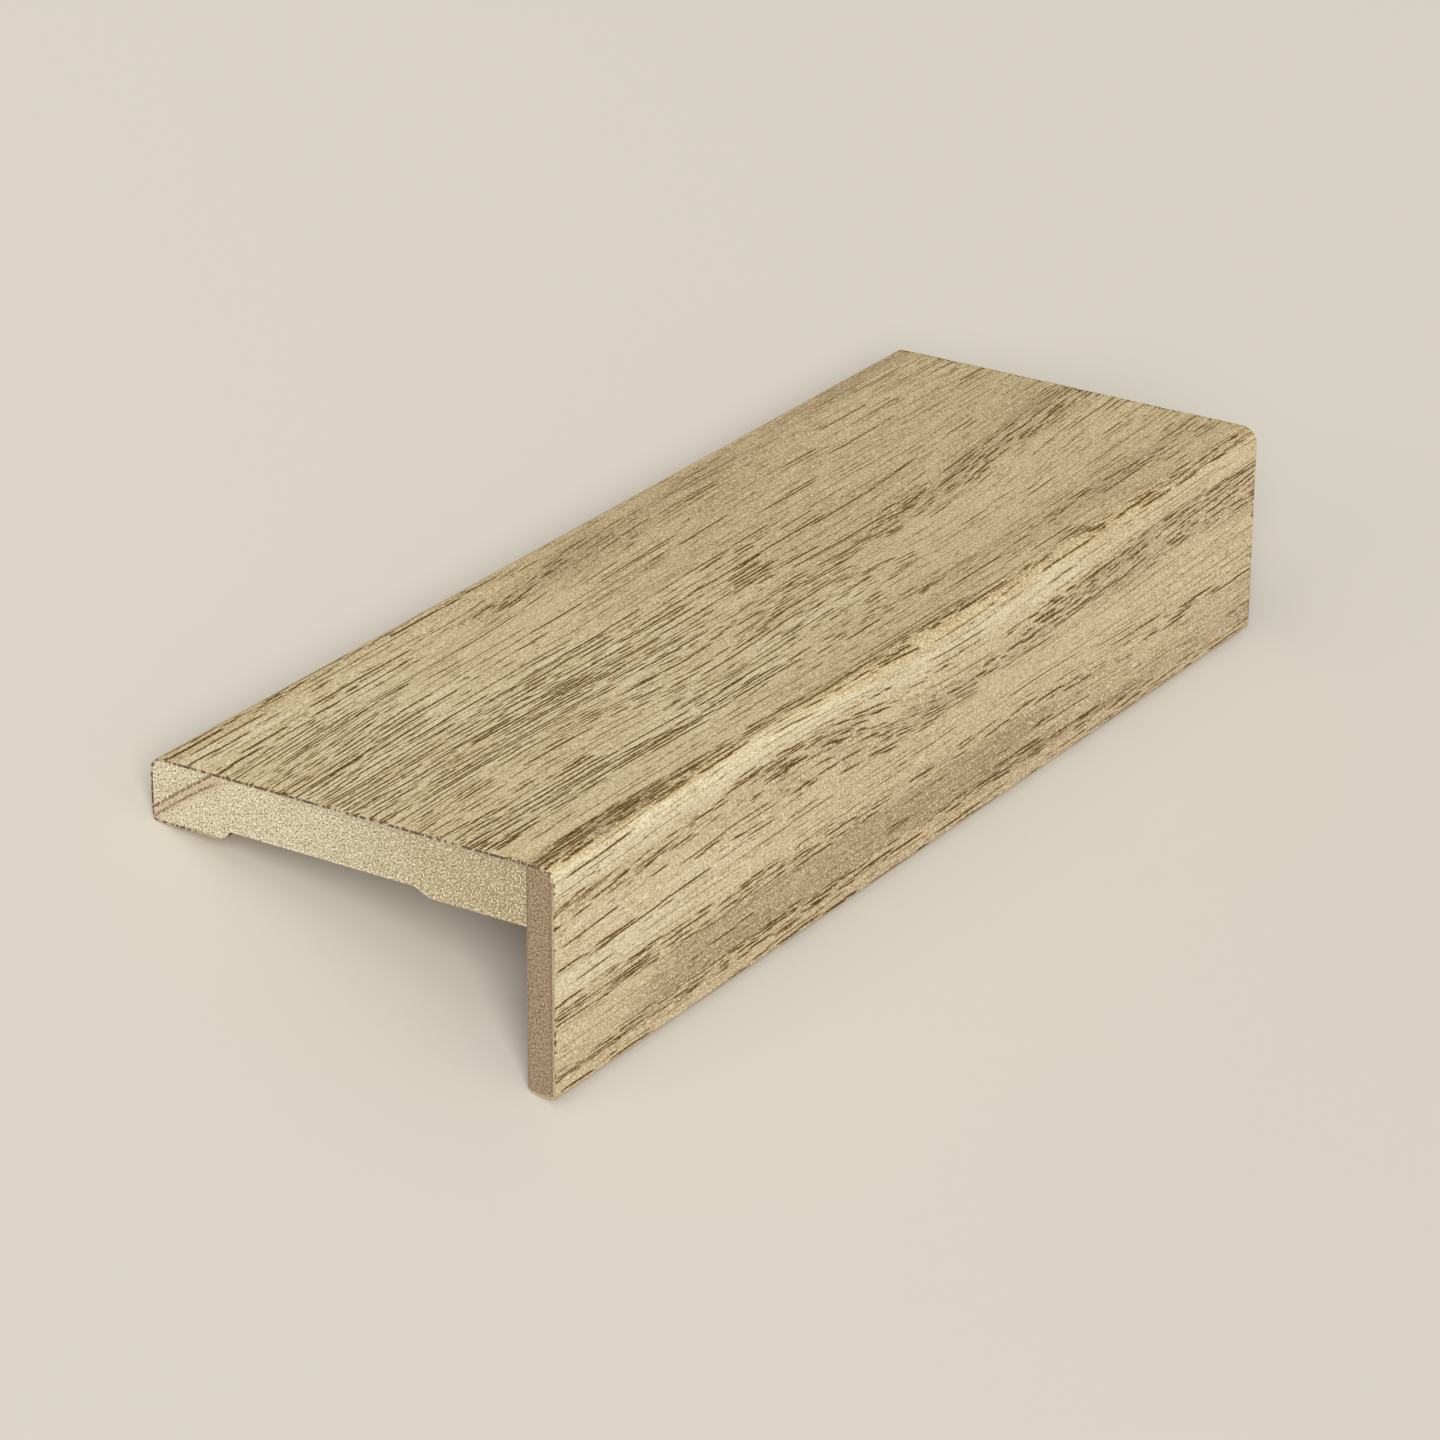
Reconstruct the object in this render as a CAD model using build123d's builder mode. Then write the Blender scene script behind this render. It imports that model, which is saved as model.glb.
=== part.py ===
from build123d import *
import math
import os

os.makedirs("parts", exist_ok=True)

# ---------------------------------------------------------------- driving dimensions (mm)
WIDTH = 100.0            # front face to rear edge, measured square to the front face
HEIGHT = 50.7            # deck surface to the bottom of the front lip
LENGTH = 292.0           # length of the piece of stock, along Y

VENEER = 0.6             # thickness of the wrap
STRIP = 6.0              # thickness of the front strip
BOARD = 13.3             # thickness of the deck board at its lands

R_TOP_FRONT = 4.0        # outer radii, over the veneer
R_TOP_REAR = 3.0
R_BOTTOM_REAR = 1.5
R_LIP_OUTER = 1.0
R_LIP_INNER = 1.2        # bare inner corner at the bottom of the strip

RETURN_REAR = 17.9       # the veneer ends here under the rear edge
RETURN_LIP = 94.6        # and here under the strip

CHANNEL_DEPTH = 1.75     # relief channel under the board
CH_REAR_LOW = 18.2       # steep rear side: at the land
CH_REAR_HIGH = 20.6      #                  at the ceiling
CH_FRONT_HIGH = 65.0     # gentle front side: at the ceiling
CH_FRONT_LOW = 70.8      #                    at the land

# ---------------------------------------------------------------- levels in the section
# Section coordinates: x from the rear edge towards the front face, y up from the
# bottom of the lip, with the deck level and the lip square to it.
BOARD_TOP = HEIGHT - VENEER
LAND = BOARD_TOP - BOARD
CEILING = LAND + CHANNEL_DEPTH
RETURN_FACE = LAND - VENEER
BOARD_FRONT = WIDTH - VENEER - STRIP
STRIP_FRONT = WIDTH - VENEER

# ---------------------------------------------------------------- resting attitude
# Unheld, the length tips back until its rear bottom corner and the end of the
# veneer under the lip both touch the floor. TILT is that angle about Y.
REAR_CX, REAR_CY = R_BOTTOM_REAR, RETURN_FACE + R_BOTTOM_REAR
reach = math.hypot(RETURN_LIP - REAR_CX, REAR_CY)
TILT = math.atan2(REAR_CY, RETURN_LIP - REAR_CX) - math.asin(R_BOTTOM_REAR / reach)
C, S = math.cos(TILT), math.sin(TILT)
drop = -RETURN_LIP * S
x_front = (WIDTH - R_LIP_OUTER) * C - R_LIP_OUTER * S + R_LIP_OUTER
x_rear = R_TOP_REAR * C - (HEIGHT - R_TOP_REAR) * S - R_TOP_REAR
shift = -(x_front + x_rear) / 2

# The section plane at mid length; its normal is -Y.
section = Plane(origin=(shift, 0, drop), x_dir=(C, 0, S), z_dir=(0, -1, 0))


def at(sketch, x, y):
    """The sketch's vertex nearest to a point of the section."""
    return sketch.vertices().sort_by_distance((x, y))[0]


# ---------------------------------------------------------------- deck board
with BuildPart() as deck_board:
    with BuildSketch(section) as board_sk:
        with BuildLine():
            Line((VENEER, BOARD_TOP), (VENEER, LAND))
            Line((VENEER, LAND), (CH_REAR_LOW, LAND))
            # steep rear ogee, from the land up to the channel's ceiling
            rear_mid = ((CH_REAR_LOW + CH_REAR_HIGH) / 2, (LAND + CEILING) / 2)
            rear_a = TangentArc((CH_REAR_LOW, LAND), rear_mid, tangent=(1, 0))
            TangentArc(rear_mid, (CH_REAR_HIGH, CEILING), tangent=rear_a % 1)
            Line((CH_REAR_HIGH, CEILING), (CH_FRONT_HIGH, CEILING))
            # gentle front ogee, back down to the land
            front_mid = ((CH_FRONT_HIGH + CH_FRONT_LOW) / 2, (LAND + CEILING) / 2)
            front_a = TangentArc((CH_FRONT_HIGH, CEILING), front_mid, tangent=(1, 0))
            TangentArc(front_mid, (CH_FRONT_LOW, LAND), tangent=front_a % 1)
            Line((CH_FRONT_LOW, LAND), (BOARD_FRONT, LAND))
            Line((BOARD_FRONT, LAND), (BOARD_FRONT, BOARD_TOP))
            Line((BOARD_FRONT, BOARD_TOP), (VENEER, BOARD_TOP))
        make_face()
        fillet(at(board_sk, VENEER, BOARD_TOP), radius=R_TOP_REAR - VENEER)
        fillet(at(board_sk, VENEER, LAND), radius=R_BOTTOM_REAR - VENEER)
    extrude(amount=LENGTH / 2, both=True)
deck_board.part.label = "deck_board"
export_step(deck_board.part, "parts/deck_board.step")

# ---------------------------------------------------------------- front strip
with BuildPart() as front_strip:
    with BuildSketch(section) as strip_sk:
        with BuildLine():
            Polyline(
                (BOARD_FRONT, VENEER),
                (STRIP_FRONT, VENEER),
                (STRIP_FRONT, BOARD_TOP),
                (BOARD_FRONT, BOARD_TOP),
                close=True,
            )
        make_face()
        fillet(at(strip_sk, STRIP_FRONT, BOARD_TOP), radius=R_TOP_FRONT - VENEER)
        fillet(at(strip_sk, STRIP_FRONT, VENEER), radius=R_LIP_OUTER - VENEER)
        fillet(at(strip_sk, BOARD_FRONT, VENEER), radius=R_LIP_INNER)
    extrude(amount=LENGTH / 2, both=True)
front_strip.part.label = "front_strip"
export_step(front_strip.part, "parts/front_strip.step")

# ---------------------------------------------------------------- veneer wrap
# One sheet of even thickness, bent round the board and the strip.
with BuildPart() as veneer_wrap:
    with BuildSketch(section) as wrap_sk:
        with BuildLine():
            Polyline(
                (RETURN_REAR, RETURN_FACE),
                (RETURN_REAR, LAND),
                (VENEER, LAND),
                (VENEER, BOARD_TOP),
                (STRIP_FRONT, BOARD_TOP),
                (STRIP_FRONT, VENEER),
                (RETURN_LIP, VENEER),
                (RETURN_LIP, 0),
                (WIDTH, 0),
                (WIDTH, HEIGHT),
                (0, HEIGHT),
                (0, RETURN_FACE),
                close=True,
            )
        make_face()
        for x, y, r in (
            (0, HEIGHT, R_TOP_REAR),
            (0, RETURN_FACE, R_BOTTOM_REAR),
            (WIDTH, HEIGHT, R_TOP_FRONT),
            (WIDTH, 0, R_LIP_OUTER),
            (VENEER, BOARD_TOP, R_TOP_REAR - VENEER),
            (VENEER, LAND, R_BOTTOM_REAR - VENEER),
            (STRIP_FRONT, BOARD_TOP, R_TOP_FRONT - VENEER),
            (STRIP_FRONT, VENEER, R_LIP_OUTER - VENEER),
        ):
            fillet(at(wrap_sk, x, y), radius=r)
    extrude(amount=LENGTH / 2, both=True)
veneer_wrap.part.label = "veneer_wrap"
export_step(veneer_wrap.part, "parts/veneer_wrap.step")

for piece in (deck_board, front_strip, veneer_wrap):
    box = piece.part.bounding_box()
    print(piece.part.label, round(piece.part.volume, 1), box.min, box.max)
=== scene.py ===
import bpy
import math
import numpy as np
from mathutils import Matrix, Vector

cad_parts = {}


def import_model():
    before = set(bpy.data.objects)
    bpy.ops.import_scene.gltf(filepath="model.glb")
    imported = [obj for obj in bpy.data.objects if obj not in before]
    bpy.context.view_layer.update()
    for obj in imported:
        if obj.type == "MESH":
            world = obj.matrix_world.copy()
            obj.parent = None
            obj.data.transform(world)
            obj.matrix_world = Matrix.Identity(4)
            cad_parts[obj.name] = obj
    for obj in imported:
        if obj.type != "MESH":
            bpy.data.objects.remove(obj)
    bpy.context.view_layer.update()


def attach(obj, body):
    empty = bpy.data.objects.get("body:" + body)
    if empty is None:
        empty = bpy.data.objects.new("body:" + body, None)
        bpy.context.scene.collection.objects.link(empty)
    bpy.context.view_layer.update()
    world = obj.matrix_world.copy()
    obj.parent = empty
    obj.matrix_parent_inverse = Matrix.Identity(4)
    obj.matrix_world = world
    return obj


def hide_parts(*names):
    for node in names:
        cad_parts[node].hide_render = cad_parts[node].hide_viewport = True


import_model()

# ------------------------------------------------------------------ the section (mm)
# X runs from the rear edge to the front face, Z up from the bottom of the lip,
# V along the length from the near end.
WIDTH, HEIGHT, LENGTH = 100.0, 50.7, 292.0
SKIN, STRIP, BOARD = 0.6, 6.0, 13.3
R_TF, R_TR, R_BR, R_LO, R_LI = 4.0, 3.0, 1.5, 1.0, 1.2
RET_REAR, RET_LIP = 17.9, 94.6
TOP = HEIGHT - SKIN
LAND = TOP - BOARD
CEIL = LAND + 1.75
FACE = LAND - SKIN
B_FRONT = WIDTH - SKIN - STRIP
S_FRONT = WIDTH - SKIN

reach = math.hypot(RET_LIP - R_BR, FACE + R_BR)
TILT = math.atan2(FACE + R_BR, RET_LIP - R_BR) - math.asin(R_BR / reach)
CT, ST = math.cos(TILT), math.sin(TILT)
DROP = -RET_LIP * ST
SHIFT = -(
    (WIDTH - R_LO) * CT - R_LO * ST + R_LO + R_TR * CT - (HEIGHT - R_TR) * ST - R_TR
) / 2


def world(X, V, Z):
    """Section coordinates in mm to the shared frame in metres."""
    X, V, Z = np.broadcast_arrays(X, V, Z)
    return (
        np.stack([SHIFT + X * CT - Z * ST, V - LENGTH / 2, DROP + X * ST + Z * CT], -1)
        / 1000.0
    )


# ------------------------------------------------------------------ seeded noise
def lattice(seed, nx, ny):
    return np.random.default_rng(seed).random((nx, ny)) * 2 - 1


def smooth_noise(x, y, seed, n=512):
    """Value noise in -1..1 with unit cells, periodic over n cells."""
    table = lattice(seed, n, n)
    x, y = np.broadcast_arrays(np.asarray(x, float), np.asarray(y, float))
    xi, yi = np.floor(x).astype(int), np.floor(y).astype(int)
    fx, fy = x - xi, y - yi
    fx, fy = fx * fx * (3 - 2 * fx), fy * fy * (3 - 2 * fy)
    a, b = table[xi % n, yi % n], table[(xi + 1) % n, yi % n]
    c, d = table[xi % n, (yi + 1) % n], table[(xi + 1) % n, (yi + 1) % n]
    return (a * (1 - fx) + b * fx) * (1 - fy) + (c * (1 - fx) + d * fx) * fy


def soft(x, lo, hi, edge):
    """1 between lo and hi, falling smoothly to 0 over edge on both sides."""
    t = np.clip((np.minimum(x - lo, hi - x) + edge) / (edge + 1e-9), 0, 1)
    return t * t * (3 - 2 * t)


# ------------------------------------------------------------------ the wrap's path
RUNS = [
    ("line", (RET_REAR, FACE), (R_BR, FACE)),
    ("arc", (R_BR, FACE + R_BR), R_BR, -90.0, -180.0),
    ("line", (0.0, FACE + R_BR), (0.0, HEIGHT - R_TR)),
    ("arc", (R_TR, HEIGHT - R_TR), R_TR, 180.0, 90.0),
    ("line", (R_TR, HEIGHT), (WIDTH - R_TF, HEIGHT)),
    ("arc", (WIDTH - R_TF, HEIGHT - R_TF), R_TF, 90.0, 0.0),
    ("line", (WIDTH, HEIGHT - R_TF), (WIDTH, R_LO)),
    ("arc", (WIDTH - R_LO, R_LO), R_LO, 0.0, -90.0),
    ("line", (WIDTH - R_LO, 0.0), (RET_LIP, 0.0)),
]


def run_length(r):
    if r[0] == "line":
        return math.dist(r[1], r[2])
    return math.radians(abs(r[4] - r[3])) * r[2]


STOPS = np.concatenate([[0.0], np.cumsum([run_length(r) for r in RUNS])])
GIRTH = float(STOPS[-1])


def on_path(s):
    """Point and outward normal of the wrap's outer line at distance s round it."""
    s = np.clip(np.asarray(s, float), 0, GIRTH)
    X, Z = np.zeros_like(s), np.zeros_like(s)
    NX, NZ = np.zeros_like(s), np.zeros_like(s)
    for k, r in enumerate(RUNS):
        last = k == len(RUNS) - 1
        m = (s >= STOPS[k]) & ((s < STOPS[k + 1]) | last)
        t = (s[m] - STOPS[k]) / (STOPS[k + 1] - STOPS[k])
        if r[0] == "line":
            (ax, az), (bx, bz) = r[1], r[2]
            d = math.dist(r[1], r[2])
            X[m], Z[m] = ax + (bx - ax) * t, az + (bz - az) * t
            NX[m], NZ[m] = -(bz - az) / d, (bx - ax) / d
        else:
            a = np.radians(r[3] + (r[4] - r[3]) * t)
            X[m], Z[m] = r[1][0] + r[2] * np.cos(a), r[1][1] + r[2] * np.sin(a)
            NX[m], NZ[m] = np.cos(a), np.sin(a)
    return X, Z, NX, NZ


# ------------------------------------------------------------------ the grain's flow
# Each guide is a line of the grain: its distance round the wrap at seven places
# along the length.
V_AT = np.array([0.0, 50, 100, 150, 200, 250, 292])
GUIDES = np.array([
    [0.0] * 7,
    [16.0] * 7,
    [28.0] * 7,
    [33.5] * 7,
    [49.8, 48.0, 46.8, 41.6, 40.3, 41.0, 41.0],
    [61.5, 58.8, 58.6, 57.5, 56.8, 57.2, 57.8],
    [72.8, 72.3, 72.4, 71.6, 70.8, 70.0, 69.3],
    [84.9, 86.0, 87.6, 88.5, 89.8, 84.8, 81.3],
    [96.3, 95.4, 99.1, 97.9, 100.8, 97.6, 94.4],
    [106.4, 108.2, 109.3, 109.5, 110.8, 109.3, 107.6],
    [114.9, 115.3, 116.7, 117.7, 117.6, 116.8, 116.0],
    [127.0, 125.9, 127.5, 129.2, 128.6, 129.2, 129.2],
    [142.2, 138.8, 137.9, 145.6, 145.8, 141.2, 139.4],
    [152.0, 150.3, 150.2, 151.8, 152.6, 151.8, 150.2],
    [161.6, 161.3, 160.7, 160.9, 160.3, 162.5, 162.7],
    [174.4, 174.0, 173.7, 173.5, 174.6, 175.1, 175.6],
    [179.2] * 7,
    [GIRTH] * 7,
])
NOMINAL = GUIDES.mean(1)


def through(values, v):
    """A smooth curve through seven values along the length."""
    m = np.gradient(values, V_AT)
    k = np.clip(np.searchsorted(V_AT, v, side="right") - 1, 0, len(V_AT) - 2)
    h = V_AT[k + 1] - V_AT[k]
    t = (v - V_AT[k]) / h
    return (
        (2 * t**3 - 3 * t**2 + 1) * values[k]
        + (t**3 - 2 * t**2 + t) * h * m[k]
        + (-2 * t**3 + 3 * t**2) * values[k + 1]
        + (t**3 - t**2) * h * m[k + 1]
    )


def flow(u, v):
    """Distance round the wrap of the grain line u at v; both are 2-D arrays whose rows share u."""
    g = np.stack([through(row, v) for row in GUIDES])  # guides x shape
    idx = np.clip(np.searchsorted(NOMINAL, u, side="right") - 1, 0, len(NOMINAL) - 2)
    t = (u - NOMINAL[idx]) / (NOMINAL[idx + 1] - NOMINAL[idx])
    lo = np.take_along_axis(g, idx[None], 0)[0]
    hi = np.take_along_axis(g, idx[None] + 1, 0)[0]
    s = lo + (hi - lo) * t
    inside = np.clip(np.minimum(u, GIRTH - u) / 6.0, 0, 1)
    s = s + inside * 0.22 * smooth_noise(u / 5.0, v / 21.0, 11)
    s = s + inside * 0.07 * smooth_noise(u / 1.6, v / 9.0, 12)
    return s


# ------------------------------------------------------------------ the figure
# Bands of open pores: v from, v to, (s low, s high) at each of them, how close the
# pores stand, how dark they are, and their usual length in mm.
PORES = [
    # thin scattered pores everywhere
    (-5, 297, (36.0, 128.0), (36.0, 128.0), 0.34, 0.52, 16),
    (-5, 297, (128.0, 177.0), (128.0, 177.0), 0.34, 0.47, 24),
    (-5, 60, (90.0, 103.0), (89.0, 102.0), 0.44, 0.76, 16),
    # rear edge of the deck
    (-5, 100, (33.2, 35.2), (33.0, 34.6), 0.85, 0.8, 10),
    (95, 297, (33.0, 34.8), (32.8, 34.4), 0.4, 0.5, 12),
    (20, 100, (36.5, 48.0), (35.0, 45.0), 0.10, 0.45, 14),
    (97, 114, (42.6, 44.6), (42.0, 44.4), 0.9, 0.9, 7),
    (106, 121, (44.6, 47.4), (44.0, 46.8), 0.9, 1.0, 6),
    (118, 133, (41.6, 43.4), (41.0, 43.0), 0.9, 0.9, 6),
    (96, 106, (48.0, 49.0), (47.6, 48.8), 0.9, 1.0, 7),
    (126, 151, (39.6, 41.8), (37.0, 39.4), 0.75, 0.9, 8),
    (117, 127, (35.2, 36.8), (34.8, 36.4), 0.8, 0.8, 6),
    (148, 202, (38.6, 41.4), (35.6, 38.2), 0.55, 0.7, 9),
    (138, 214, (45.4, 46.6), (39.6, 41.8), 0.45, 0.65, 8),
    (188, 208, (35.0, 37.0), (34.8, 36.6), 0.6, 0.7, 8),
    (230, 263, (35.4, 38.0), (36.6, 39.2), 0.5, 0.6, 9),
    (262, 297, (33.2, 35.2), (33.0, 35.0), 0.5, 0.6, 9),
    (139, 161, (49.0, 50.0), (48.8, 49.8), 0.7, 0.7, 8),
    (154, 173, (57.0, 58.0), (56.6, 57.6), 0.9, 0.8, 8),
    # near left clusters
    (-5, 46, (45.5, 60.5), (43.5, 57.5), 0.63, 0.9, 16),
    (0, 40, (54.6, 57.6), (50.4, 53.0), 0.7, 1.0, 12),
    (37, 52, (56.0, 60.0), (55.6, 59.4), 0.75, 0.9, 5),
    (-5, 40, (60.5, 72.0), (58.5, 70.0), 0.67, 0.95, 18),
    (35, 100, (59.0, 71.0), (58.0, 69.5), 0.42, 0.65, 16),
    (40, 120, (50.0, 59.0), (48.0, 57.0), 0.20, 0.5, 13),
    # long lines down the middle of the deck
    (-5, 104, (71.5, 90.0), (71.0, 90.5), 0.67, 0.95, 26),
    (62, 102, (75.6, 77.4), (75.4, 77.0), 0.8, 1.0, 18),
    (0, 56, (75.5, 80.5), (75.0, 80.0), 0.5, 0.9, 12),
    (34, 72, (84.0, 87.4), (83.8, 87.0), 0.6, 1.0, 9),
    (98, 157, (71.0, 90.0), (69.0, 84.0), 0.50, 0.8, 14),
    (109, 137, (71.2, 72.8), (71.0, 72.4), 0.7, 0.8, 9),
    (97, 127, (75.6, 78.4), (75.2, 77.8), 0.6, 0.9, 9),
    (124, 154, (82.0, 84.2), (80.2, 82.2), 0.8, 1.0, 8),
    (-5, 52, (94.2, 95.8), (92.4, 94.0), 0.7, 0.9, 18),
    (-5, 60, (89.5, 94.0), (88.5, 92.5), 0.32, 0.7, 10),
    # tongue of the cathedral
    (56, 88, (90.0, 94.0), (97.0, 102.0), 0.75, 0.9, 6),
    (70, 100, (92.0, 100.0), (93.0, 101.0), 0.55, 0.85, 8),
    (85, 165, (100.0, 112.0), (96.0, 106.0), 0.54, 0.85, 9),
    (97, 152, (97.4, 101.4), (97.0, 101.0), 0.6, 0.9, 9),
    (118, 137, (90.4, 93.4), (90.0, 93.0), 0.7, 1.0, 8),
    (95, 146, (88.5, 97.0), (89.0, 97.0), 0.52, 0.8, 8),
    (143, 166, (88.0, 96.0), (90.0, 98.0), 0.72, 0.95, 7),
    (159, 168, (98.0, 101.2), (98.2, 101.2), 0.9, 1.0, 4),
    (150, 165, (102.0, 104.6), (101.6, 104.0), 0.8, 0.9, 5),
    (136, 165, (106.6, 110.0), (106.0, 109.4), 0.7, 0.9, 7),
    # outer ring round the tongue
    (158, 200, (89.6, 93.6), (86.0, 92.0), 0.7, 0.9, 9),
    (198, 232, (84.5, 93.0), (83.0, 92.0), 0.66, 0.85, 9),
    (230, 264, (81.8, 89.4), (81.0, 89.2), 0.66, 0.85, 8),
    (260, 297, (80.0, 89.6), (75.0, 87.6), 0.62, 0.8, 9),
    (150, 235, (58.0, 82.0), (58.0, 80.0), 0.24, 0.5, 11),
    (225, 297, (58.0, 78.0), (56.0, 76.0), 0.32, 0.5, 11),
    (150, 297, (42.0, 60.0), (42.0, 58.0), 0.15, 0.45, 12),
    # lines in front of the oval
    (-5, 18, (102.6, 104.4), (102.4, 104.0), 0.8, 1.0, 12),
    (4, 46, (104.4, 105.8), (104.2, 105.4), 0.7, 1.0, 16),
    (-5, 57, (106.4, 115.4), (106.4, 114.6), 0.78, 1.0, 20),
    (55, 101, (110.4, 114.6), (111.0, 115.0), 0.72, 0.9, 9),
    (59, 74, (110.4, 112.6), (110.8, 112.8), 0.9, 1.0, 6),
    (98, 167, (112.4, 116.4), (113.4, 117.0), 0.62, 0.85, 8),
    (80, 100, (104.5, 111.0), (104.0, 111.0), 0.6, 0.85, 7),
    (165, 297, (115.0, 120.4), (116.0, 121.4), 0.52, 0.75, 9),
    (240, 258, (116.8, 118.8), (116.8, 118.8), 0.8, 0.8, 7),
    (0, 297, (117.5, 123.0), (120.0, 126.5), 0.16, 0.55, 16),
    # dark cluster along the front edge
    (-5, 100, (123.6, 128.8), (124.6, 127.6), 0.80, 1.0, 11),
    (4, 52, (123.2, 128.6), (123.8, 128.0), 0.92, 1.1, 9),
    (9, 19, (124.6, 127.2), (124.6, 127.2), 0.95, 1.0, 6),
    (19, 31, (126.0, 128.0), (126.0, 128.0), 0.95, 1.0, 6),
    (34, 46, (123.6, 125.4), (123.6, 125.4), 0.95, 1.0, 6),
    (49, 102, (125.2, 126.8), (125.2, 126.6), 0.95, 1.0, 16),
    (96, 127, (126.0, 128.2), (125.2, 127.4), 0.8, 0.9, 10),
    (108, 167, (128.4, 130.2), (126.4, 128.4), 0.85, 0.9, 9),
    (163, 184, (127.0, 129.0), (127.0, 129.0), 0.85, 0.9, 8),
    (189, 219, (127.6, 129.4), (126.0, 128.2), 0.9, 0.95, 9),
    (223, 247, (127.6, 130.2), (127.6, 130.2), 0.85, 0.9, 8),
    (243, 297, (129.4, 131.2), (128.0, 130.0), 0.85, 0.9, 10),
    (0, 140, (128.0, 132.0), (128.0, 131.0), 0.22, 0.6, 14),
    (-5, 112, (129.9, 136.4), (128.9, 133.0), 0.22, 0.55, 16),
    # first band of the front face
    (-5, 11, (136.6, 139.6), (136.6, 139.4), 0.8, 0.9, 8),
    (4, 32, (138.6, 140.4), (138.0, 140.0), 0.8, 0.9, 9),
    (19, 42, (140.6, 142.4), (138.0, 140.0), 0.85, 1.0, 9),
    (0, 40, (140.5, 144.5), (140.5, 143.5), 0.35, 0.8, 12),
    (37, 62, (137.2, 139.0), (135.8, 137.8), 0.8, 0.9, 9),
    (54, 97, (135.4, 137.2), (133.8, 136.0), 0.75, 0.9, 9),
    (45, 72, (138.8, 142.0), (137.0, 141.0), 0.55, 0.85, 8),
    (69, 120, (134.0, 140.6), (134.2, 141.0), 0.78, 0.95, 8),
    (108, 127, (136.8, 139.4), (140.6, 143.0), 0.8, 1.0, 6),
    (59, 117, (143.0, 148.0), (143.0, 148.4), 0.45, 0.8, 8),
    (116, 147, (143.0, 150.0), (143.4, 150.0), 0.78, 0.95, 7),
    (144, 199, (143.8, 148.4), (143.0, 147.6), 0.76, 0.95, 8),
    (190, 232, (139.6, 146.4), (138.4, 145.4), 0.76, 0.95, 7),
    (229, 264, (136.2, 146.8), (136.0, 146.8), 0.66, 0.9, 7),
    (262, 297, (136.4, 140.0), (136.0, 139.0), 0.8, 1.0, 6),
    (264, 297, (140.0, 147.0), (140.0, 147.0), 0.6, 0.85, 7),
    (231, 247, (149.0, 150.4), (148.8, 150.2), 0.7, 0.9, 6),
    (-2, 23, (145.9, 147.0), (145.7, 146.9), 0.5, 0.7, 20),
    (-4, 16, (151.0, 152.1), (150.6, 151.7), 0.95, 0.9, 20),
    (119, 167, (138.6, 139.8), (135.6, 136.8), 0.5, 0.8, 12),
    (147, 187, (141.2, 142.4), (139.4, 140.6), 0.5, 0.8, 12),
    (-5, 297, (144.5, 157.5), (144.5, 157.0), 0.17, 0.55, 18),
    (100, 297, (131.0, 138.0), (131.0, 136.0), 0.14, 0.55, 16),
    # second band
    (-5, 102, (158.2, 163.2), (158.4, 163.2), 0.82, 0.95, 10),
    (10, 60, (158.6, 160.6), (158.2, 160.0), 0.6, 1.0, 9),
    (96, 127, (159.6, 163.4), (159.8, 163.4), 0.6, 0.85, 9),
    (126, 177, (159.8, 163.2), (159.8, 163.2), 0.6, 0.85, 8),
    (178, 209, (159.8, 163.2), (160.0, 163.4), 0.66, 0.9, 8),
    (205, 257, (161.2, 164.6), (161.6, 165.0), 0.62, 0.85, 8),
    (253, 297, (162.8, 165.2), (160.6, 163.0), 0.62, 0.85, 9),
    # smooth brown zone and its thin lines
    (10, 92, (170.4, 171.4), (164.4, 165.4), 0.42, 0.75, 22),
    (114, 152, (169.4, 170.6), (168.4, 169.6), 0.6, 0.8, 16),
    (190, 212, (167.4, 168.6), (166.6, 167.6), 0.6, 0.8, 14),
    # bottom band
    (-5, 22, (173.4, 175.8), (173.2, 175.6), 0.95, 1.0, 9),
    (20, 32, (173.0, 175.6), (172.8, 175.4), 0.7, 0.9, 8),
    (27, 57, (172.2, 175.2), (172.2, 175.4), 0.95, 1.0, 8),
    (58, 92, (171.4, 176.2), (171.2, 176.0), 0.85, 1.0, 7),
    (95, 137, (172.2, 175.4), (172.0, 175.2), 0.85, 1.0, 8),
    (148, 160, (172.0, 174.2), (171.8, 174.0), 0.8, 0.9, 7),
    (163, 204, (171.2, 174.4), (171.0, 174.2), 0.85, 1.0, 8),
    (198, 227, (173.6, 175.8), (174.0, 176.2), 0.85, 0.95, 8),
    (223, 297, (175.6, 178.4), (176.2, 178.8), 0.75, 0.9, 9),
    (-5, 297, (176.8, 179.4), (177.4, 179.4), 0.52, 0.8, 14),
    # round the rear edge and the lip, which the picture's side doesn't reach
    (-5, 297, (20.0, 22.4), (21.6, 24.2), 0.6, 0.8, 10),
    (30, 160, (25.0, 27.0), (24.6, 26.8), 0.55, 0.8, 9),
    (150, 297, (26.2, 28.8), (25.0, 27.8), 0.65, 0.85, 8),
    (-5, 297, (3.0, 6.0), (5.0, 8.0), 0.5, 0.7, 10),
    (-5, 297, (11.0, 13.0), (12.0, 14.0), 0.4, 0.7, 10),
    (-5, 297, (180.5, 182.0), (181.0, 183.0), 0.5, 0.8, 10),
]

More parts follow.
